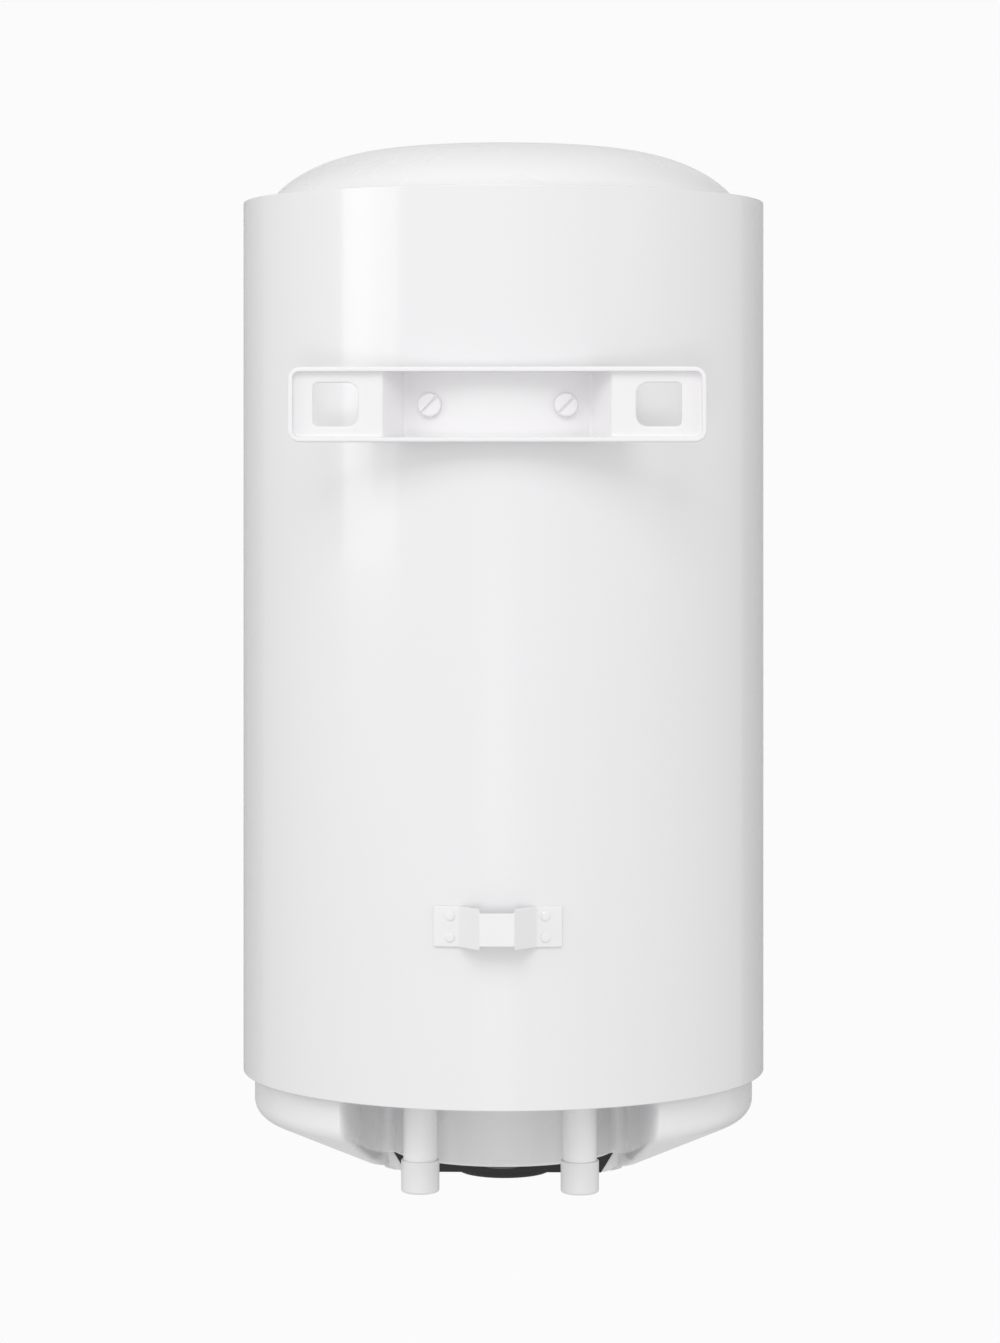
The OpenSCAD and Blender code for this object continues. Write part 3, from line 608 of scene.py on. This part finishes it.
def build_spacer():
    """Bent strip: two wings on the casing and a crown that touches the wall."""
    gap = -AXIS - CASING
    lean = (SPACER_FOOT - CROWN_HALF) / (gap + 1)
    wide = SPACER_T * math.sqrt(1 + lean * lean)
    foot_x = CROWN_HALF + (gap + 1) * lean
    foot_y = -gap - 1
    crown_in = CROWN_HALF + SPACER_T * lean - wide
    wing_end = math.degrees(math.acos(SPACER_HALF / (CASING + SPACER_T)))
    wing_in = math.degrees(math.acos(foot_x / (CASING + SPACER_T)))
    right = [(CROWN_HALF, 0)] + arc(CASING + SPACER_T, wing_in, wing_end, 8, y=AXIS)
    under = arc(CASING, wing_end, wing_in, 8, y=AXIS) + [(foot_x - wide, foot_y)]
    under += [(crown_in, -SPACER_T)]
    half = right + under
    outline = half + [(-x, y) for x, y in half[::-1]]
    strip = prism("spacer_strip", outline, SPACER_Z - SPACER_H / 2, SPACER_Z + SPACER_H / 2,
                  WALL)
    for side in (-1, 1):
        z = SPACER_Z + side * SPACER_H / 2
        cut = prism("cut", rectangle(2 * CROWN_HALF, 2 * CROWN_NOTCH, 0, 0, z), -4, 1,
                    WALL, True)
        combine(strip, cut, "DIFFERENCE")
    soften(strip, voxel=0.4, passes=8)
    finish_piece(strip, "white_powder", "heater", "lower_spacer")


# ---- screws and rivets ----


def spoke_frame(x, z):
    """Moves a mesh that points along +Y, at the origin, onto the casing at x and z."""
    turn = math.asin(x / CASING)
    return Matrix.Translation((0, AXIS_Y, z * MM)) @ Matrix.Rotation(-turn, 4, "Z")


def point_outwards(part, origin_r):
    """Turns an upright part to +Y, with its foot origin_r from the tank's axis."""
    part.data.transform(Matrix.Translation((0, origin_r * MM, 0))
                        @ Matrix.Rotation(math.radians(-90), 4, "X"))


SCREW_X = 40.8
SCREW_R, SCREW_L = 4.0, 6.0
SCREW_HEAD_R, SCREW_HEAD_H = 7.4, 3.4
SLOT_W, SLOT_D, SLOT_TURN = 1.6, 1.5, 45


def build_hanger_screws():
    """Two round-headed slotted screws that hold the hanger's saddle."""
    for side, side_name, replaced in ((-1, "left", ["hanger_screws"]), (1, "right", [])):
        outline = rounded([(0, -SCREW_L), (SCREW_R, -SCREW_L), (SCREW_R, 0), (SCREW_HEAD_R, 0),
                           (SCREW_HEAD_R, SCREW_HEAD_H), (0, SCREW_HEAD_H)],
                          [0, 0, 0, 0, 1.4, 0])
        screw = lathe("screw", outline, WALL, steps=64)
        slot = prism("slot", rectangle(2 * SCREW_HEAD_R + 2, SLOT_W, 0),
                     SCREW_HEAD_H - SLOT_D, SCREW_HEAD_H + 1, WALL)
        slot.data.transform(Matrix.Rotation(math.radians(SLOT_TURN), 4, "Z"))
        combine(screw, slot, "DIFFERENCE")
        soften(screw, voxel=0.22, passes=3)
        point_outwards(screw, CASING + HANGER_T)
        screw.data.transform(spoke_frame(side * SCREW_X, 0))
        screw.name = "hanger_screw_" + side_name
        finish_piece(screw, "white_powder", "heater", *replaced)


def build_rivets():
    """Four flat-headed rivets that hold the spacer's wings."""
    for number, (side, up) in enumerate([(-1, -1), (-1, 1), (1, -1), (1, 1)]):
        outline = rounded([(0, -3), (1.6, -3), (1.6, 0), (3.0, 0), (2.8, 0.9), (0, 1.0)],
                          [0, 0, 0, 0.2, 0.6, 0])
        rivet = lathe("spacer_rivet_%d" % number, outline, WALL, steps=64)
        point_outwards(rivet, CASING + SPACER_T - 0.1)
        rivet.data.transform(spoke_frame(side * RIVET_X, SPACER_Z + up * RIVET_Z))
        replaced = ["spacer_rivets"] if number == 0 else []
        finish_piece(rivet, "white_powder", "heater", *replaced)


# ---- pipes, caps and grommets ----

PIPE_X, PIPE_Y = 50.0, 104.5
PIPE_R, PIPE_BORE, SOCKET_R, SOCKET_L = 10.65, 8.0, 8.6, 18.0
PIPE_END = -59.8
CAP_R, CAP_L, CAP_FLOOR = 12.0, 20.3, 2.0
CAP_PLAY = 0.05                         # between a cap's wall and its pipe
GROMMET_R, GROMMET_FACE_R = 16.0, 13.0


def build_pipe(node_name, side):
    """Pipe with a wider socket at its open lower end."""
    top = (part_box(node_name)[1][2] - RIM_Z) / MM
    points = [(PIPE_R, PIPE_END), (PIPE_R, top), (PIPE_BORE, top),
              (PIPE_BORE, PIPE_END + SOCKET_L), (SOCKET_R, PIPE_END + SOCKET_L),
              (SOCKET_R, PIPE_END)]
    outline = rounded(points, [0.7, 0.3, 0.3, 0.2, 0.2, 0.4])
    pipe = lathe(node_name + "_skin", outline, TANK, side * PIPE_X, PIPE_Y, steps=72)
    finish_piece(pipe, "white_pipe", "heater", node_name)


def build_cap(node_name, side, body):
    """Closed cup pushed over a pipe's end."""
    low = PIPE_END - CAP_FLOOR
    inside = PIPE_R + CAP_PLAY
    points = [(0, low), (CAP_R, low), (CAP_R, low + CAP_L), (inside, low + CAP_L),
              (inside, PIPE_END), (0, PIPE_END)]
    outline = rounded(points, [0, 2.0, 0.45, 0.2, 0.4, 0])
    cap = lathe(node_name + "_skin", outline, TANK, side * PIPE_X, PIPE_Y, steps=72)
    finish_piece(cap, "cap_plastic", body, node_name)


def build_grommet(name, side, *replaced):
    """Rubber ring that seals a pipe in the casing's base."""
    points = [(GROMMET_R, HEM_H - 3), (GROMMET_R, HEM_H), (GROMMET_FACE_R, HEM_H),
              (GROMMET_FACE_R, HEM_H + 1), (PIPE_R, HEM_H + 1), (PIPE_R, HEM_H - 3)]
    outline = rounded(points, [1.2, 0.3, 0, 0.2, 0.2, 0.5])
    grommet = lathe(name, outline, TANK, side * PIPE_X, PIPE_Y, steps=64)
    finish_piece(grommet, "black_rubber", "heater", *replaced)


# ---- control panel, knob and small parts underneath ----

PANEL_T = 2.5
PANEL_BEVEL, PANEL_BEND = 0.35, 50      # rounding of edges that bend more, in degrees
KNOB_Y = -29.0
KNOB_R = 31.0
KNOB_Z = COVER_FLAT_Z - 5.3
RECESS_R = KNOB_R + 1
RECESS_Z = PANEL_Z + 6.5
KNOB_GAP = 0.5                          # between the knob and the floor of its recess
RECESS_WALL, RECESS_FLOOR = 1.6, 2.0
SPINDLE_HOLE_R = 4.2
LAMP_X, LAMP_Y, LAMP_R = 46.0, -22.0, 4.0
LENS_GAP = 0.1                          # between the lens and its hole
HOLE_LOW, HOLE_HIGH = -80.0, -60.0      # below the panel and above it
MARK_COUNT, MARK_TURN = 11, 270
MARK_IN, MARK_OUT, MARK_HALF = 32.5, 34.7, 0.45
MARK_PROUD, MARK_SUNK = 0.12, 0.3       # how far a mark stands out of the panel and goes in


def build_panel():
    """Panel with its raised back edge, the knob's recess and the holes in it."""
    turn = math.degrees(math.asin(NOTCH_FRONT / PANEL_R))
    outline = arc(PANEL_R, -180 - turn, turn, 96)
    panel = prism("panel", outline, PANEL_Z, PANEL_Z + PANEL_T, TANK)
    top = DRUM_Z - LIP_H
    step = [(-PANEL_TOP_HALF, top), (PANEL_TOP_HALF, top),
            (PANEL_R - 0.2, PANEL_Z), (-PANEL_R + 0.2, PANEL_Z)]
    back = prism("step", step, NOTCH_FRONT - PANEL_T, NOTCH_FRONT, TANK, True)
    combine(panel, back, "UNION")
    cup_r, cup_top = RECESS_R + RECESS_WALL, RECESS_Z + RECESS_FLOOR
    cup = lathe("cup", [(0, PANEL_Z), (cup_r, PANEL_Z), (cup_r, cup_top), (0, cup_top)],
                TANK, 0, KNOB_Y, steps=96)
    combine(panel, cup, "UNION")
    space = lathe("space", [(0, PANEL_Z - 3), (RECESS_R, PANEL_Z - 3), (RECESS_R, RECESS_Z),
                            (0, RECESS_Z)], TANK, 0, KNOB_Y, steps=96)
    combine(panel, space, "DIFFERENCE")
    hole = lathe("hole", [(0, HOLE_LOW), (SPINDLE_HOLE_R, HOLE_LOW),
                          (SPINDLE_HOLE_R, RECESS_Z + 5), (0, RECESS_Z + 5)],
                 TANK, 0, KNOB_Y, steps=32)
    combine(panel, hole, "DIFFERENCE")
    hole = lathe("hole", [(0, HOLE_LOW), (LAMP_R, HOLE_LOW), (LAMP_R, HOLE_HIGH),
                          (0, HOLE_HIGH)], TANK, LAMP_X, LAMP_Y, steps=48)
    combine(panel, hole, "DIFFERENCE")
    edges = panel.modifiers.new("edges", "BEVEL")
    edges.width = PANEL_BEVEL * MM
    edges.segments = 2
    edges.angle_limit = math.radians(PANEL_BEND)
    bpy.context.view_layer.update()
    apply_modifiers(panel)
    panel.name = "control_panel_skin"
    finish_piece(panel, "dark_plastic", "heater", "control_panel")


def build_dial():
    """Plain marks round the knob, over the whole of its turn."""
    verts, faces = [], []
    for i in range(MARK_COUNT):
        a = math.radians(-MARK_TURN / 2 + MARK_TURN * i / (MARK_COUNT - 1))
        out = Vector((math.sin(a), -math.cos(a), 0))
        side = Vector((math.cos(a), math.sin(a), 0)) * MARK_HALF
        first = len(verts)
        for z in (PANEL_Z - MARK_PROUD, PANEL_Z + MARK_SUNK):
            for r, s in ((MARK_IN, -1), (MARK_IN, 1), (MARK_OUT, 1), (MARK_OUT, -1)):
                verts.append(Vector((0, KNOB_Y, z)) + out * r + side * s)
        faces += [(first, first + 1, first + 2, first + 3),
                  (first + 4, first + 5, first + 6, first + 7)]
        faces += [(first + k, first + (k + 1) % 4, first + 4 + (k + 1) % 4, first + 4 + k)
                  for k in range(4)]
    dial = add_piece("dial_marks", verts, faces, TANK)
    finish_piece(dial, "white_plastic", "heater")


def build_knob():
    """Round knob with a ribbed rim and a bar between two pockets to grip it by."""
    top = RECESS_Z - KNOB_GAP
    body = lathe("knob", rounded([(0, KNOB_Z), (KNOB_R, KNOB_Z), (KNOB_R, top), (0, top)],
                                 [0, 2.0, 0.5, 0]), TANK, 0, KNOB_Y, steps=128)
    bar_half, rim, deep = 5.0, 3.0, 5.0
    inner = KNOB_R - rim
    turn = math.degrees(math.acos(bar_half / inner))
    right = arc(inner, -turn, turn, 40, y=KNOB_Y)
    for outline in ([(-x, y) for x, y in right[::-1]], right):
        pocket = prism("pocket", outline, KNOB_Z - 2, KNOB_Z + deep, TANK)
        combine(body, pocket, "DIFFERENCE")
    ribs, groove_r, groove_h = 36, 0.9, 3.2
    groove_at = KNOB_R + 0.4
    low, high = KNOB_Z - 2, KNOB_Z + groove_h
    groove = [(0, low), (groove_r, low), (groove_r, high), (0, high)]
    for i in range(ribs):
        a = 2 * math.pi * i / ribs
        notch = lathe("notch", groove, TANK, groove_at * math.sin(a),
                      KNOB_Y + groove_at * math.cos(a), steps=12)
        combine(body, notch, "DIFFERENCE")
    soften(body, voxel=0.4, passes=5)
    body.name = "knob_skin"
    finish_piece(body, "dark_plastic", "knob", "thermostat_knob")


def build_lens():
    """Small domed lens of the lamp beside the knob."""
    radius = LAMP_R - LENS_GAP
    low, top = PANEL_Z - 0.6, PANEL_Z + PANEL_T + 1.0
    points = [(0, low), (radius, low + 0.5), (radius, top), (0, top)]
    lens = lathe("lamp_lens_dome", rounded(points, [0, 0.8, 0, 0]), TANK, LAMP_X, LAMP_Y,
                 steps=48)
    finish_piece(lens, "lens_red", "heater", "lamp_lens")


build_casing()
build_top_cap()
build_bottom_cover()
build_hanger()
build_spacer()
build_hanger_screws()
build_rivets()
build_pipe("cold_inlet_pipe", 1)
build_pipe("hot_outlet_pipe", -1)
build_cap("cold_pipe_cap", 1, "cold_cap")
build_cap("hot_pipe_cap", -1, "hot_cap")
build_grommet("grommet_cold", 1, "pipe_grommets")
build_grommet("grommet_hot", -1)
build_panel()
build_dial()
build_knob()
build_lens()

# ---- floor, light and camera ----

FLOOR_Z = cad_box[0][2] - 2.6           # far below, so that the wall-hung object hangs free
FLOOR_R = 20.0
PAPER_GLOW = 0.965                      # how bright floor and surroundings look
AMBIENT = 0.83                          # how much the surroundings light the object


def build_floor():
    """Pale glowing floor, as bright as the surroundings, so no edge shows."""
    mesh = bpy.data.meshes.new("floor")
    shape = bmesh.new()
    bmesh.ops.create_circle(shape, cap_ends=True, segments=96, radius=FLOOR_R)
    bmesh.ops.translate(shape, verts=shape.verts, vec=(0, 0, FLOOR_Z))
    shape.to_mesh(mesh)
    shape.free()
    floor = bpy.data.objects.new("floor", mesh)
    bpy.context.collection.objects.link(floor)
    material, _, shader = new_material("paper")
    shader.inputs["Base Color"].default_value = (0, 0, 0, 1)
    shader.inputs["Specular IOR Level"].default_value = 0
    shader.inputs["Emission Color"].default_value = (1, 1, 1, 1)
    shader.inputs["Emission Strength"].default_value = PAPER_GLOW
    mesh.materials.append(material)
    floor.visible_diffuse = False
    floor.visible_glossy = False


FLAG_X = 0.55
FLAG_Y = (-2.4, -0.45)
FLAG_Z = (-1.2, 1.6)


def build_flag(name, side, grey):
    """Upright grey card beside the heater, unseen, that deepens its edges."""
    mesh = bpy.data.meshes.new(name)
    corners = [(FLAG_Y[0], FLAG_Z[0]), (FLAG_Y[1], FLAG_Z[0]),
               (FLAG_Y[1], FLAG_Z[1]), (FLAG_Y[0], FLAG_Z[1])]
    mesh.from_pydata([(side * FLAG_X, y, z) for y, z in corners], [], [(0, 1, 2, 3)])
    flag = bpy.data.objects.new(name, mesh)
    bpy.context.collection.objects.link(flag)
    material, _, shader = new_material(name)
    shader.inputs["Base Color"].default_value = (grey, grey, grey, 1)
    shader.inputs["Roughness"].default_value = 1.0
    shader.inputs["Specular IOR Level"].default_value = 0
    mesh.materials.append(material)
    flag.visible_camera = False


AIM = Vector((0, AXIS_Y, -0.15))        # the heater's middle


def area_light(name, place, width, height, power, mirrored=True):
    """Soft lamp aimed at the heater, which may or may not show in its gloss."""
    light = bpy.data.lights.new(name, "AREA")
    light.shape = "RECTANGLE"
    light.size = width
    light.size_y = height
    light.energy = power
    lamp = bpy.data.objects.new(name, light)
    lamp.location = place
    aim = AIM - Vector(place)
    lamp.rotation_euler = aim.to_track_quat("-Z", "Y").to_euler()
    lamp.visible_glossy = mirrored
    bpy.context.collection.objects.link(lamp)


def build_camera():
    """Level camera behind the heater, where its back is seen square on."""
    distance = 2.4056
    turn = math.radians(181.2)
    height = -0.040
    camera = bpy.data.cameras.new("camera")
    camera.lens = 98.4
    camera.shift_y = -0.1497
    camera.shift_x = -0.0026
    eye = bpy.data.objects.new("camera", camera)
    eye.location = (distance * math.sin(turn), AXIS_Y - distance * math.cos(turn), height)
    eye.rotation_euler = (math.radians(90), 0, turn)
    bpy.context.collection.objects.link(eye)
    bpy.context.scene.camera = eye


def build_world():
    """Even white surroundings that light the heater a little less than they look."""
    world = bpy.data.worlds.new("studio")
    world.use_nodes = True
    tree = world.node_tree
    seen = tree.nodes["Background"]
    seen.inputs["Strength"].default_value = PAPER_GLOW
    seen.inputs["Color"].default_value = (1, 1, 1, 1)
    around = tree.nodes.new("ShaderNodeBackground")
    around.inputs["Strength"].default_value = AMBIENT
    path = tree.nodes.new("ShaderNodeLightPath")
    mix = tree.nodes.new("ShaderNodeMixShader")
    tree.links.new(path.outputs["Is Camera Ray"], mix.inputs["Fac"])
    tree.links.new(around.outputs["Background"], mix.inputs[1])
    tree.links.new(seen.outputs["Background"], mix.inputs[2])
    tree.links.new(mix.outputs["Shader"], tree.nodes["World Output"].inputs["Surface"])
    bpy.context.scene.world = world


def build_light():
    area_light("key", (0.2, 3.45, 3.3), 3.0, 2.6, 66)
    area_light("low_fill", (0.1, 3.8, -0.7), 1.0, 1.0, 20, mirrored=False)
    area_light("left_strip", (1.41, 0.57, 0.50), 0.45, 1.25, 1.1)
    area_light("left_softbox", (2.0, 1.1, 0.6), 1.2, 1.6, 7.5)
    area_light("right_softbox", (-2.4, 1.3, 0.4), 1.2, 1.6, 8.0, mirrored=False)
    area_light("front_softbox", (0.9, -3.4, 1.6), 2.0, 2.0, 50, mirrored=False)


build_floor()
build_flag("flag_left", 1, 0.80)
build_flag("flag_right", -1, 0.55)
build_world()
build_light()
build_camera()
bpy.context.scene.view_settings.view_transform = "Standard"
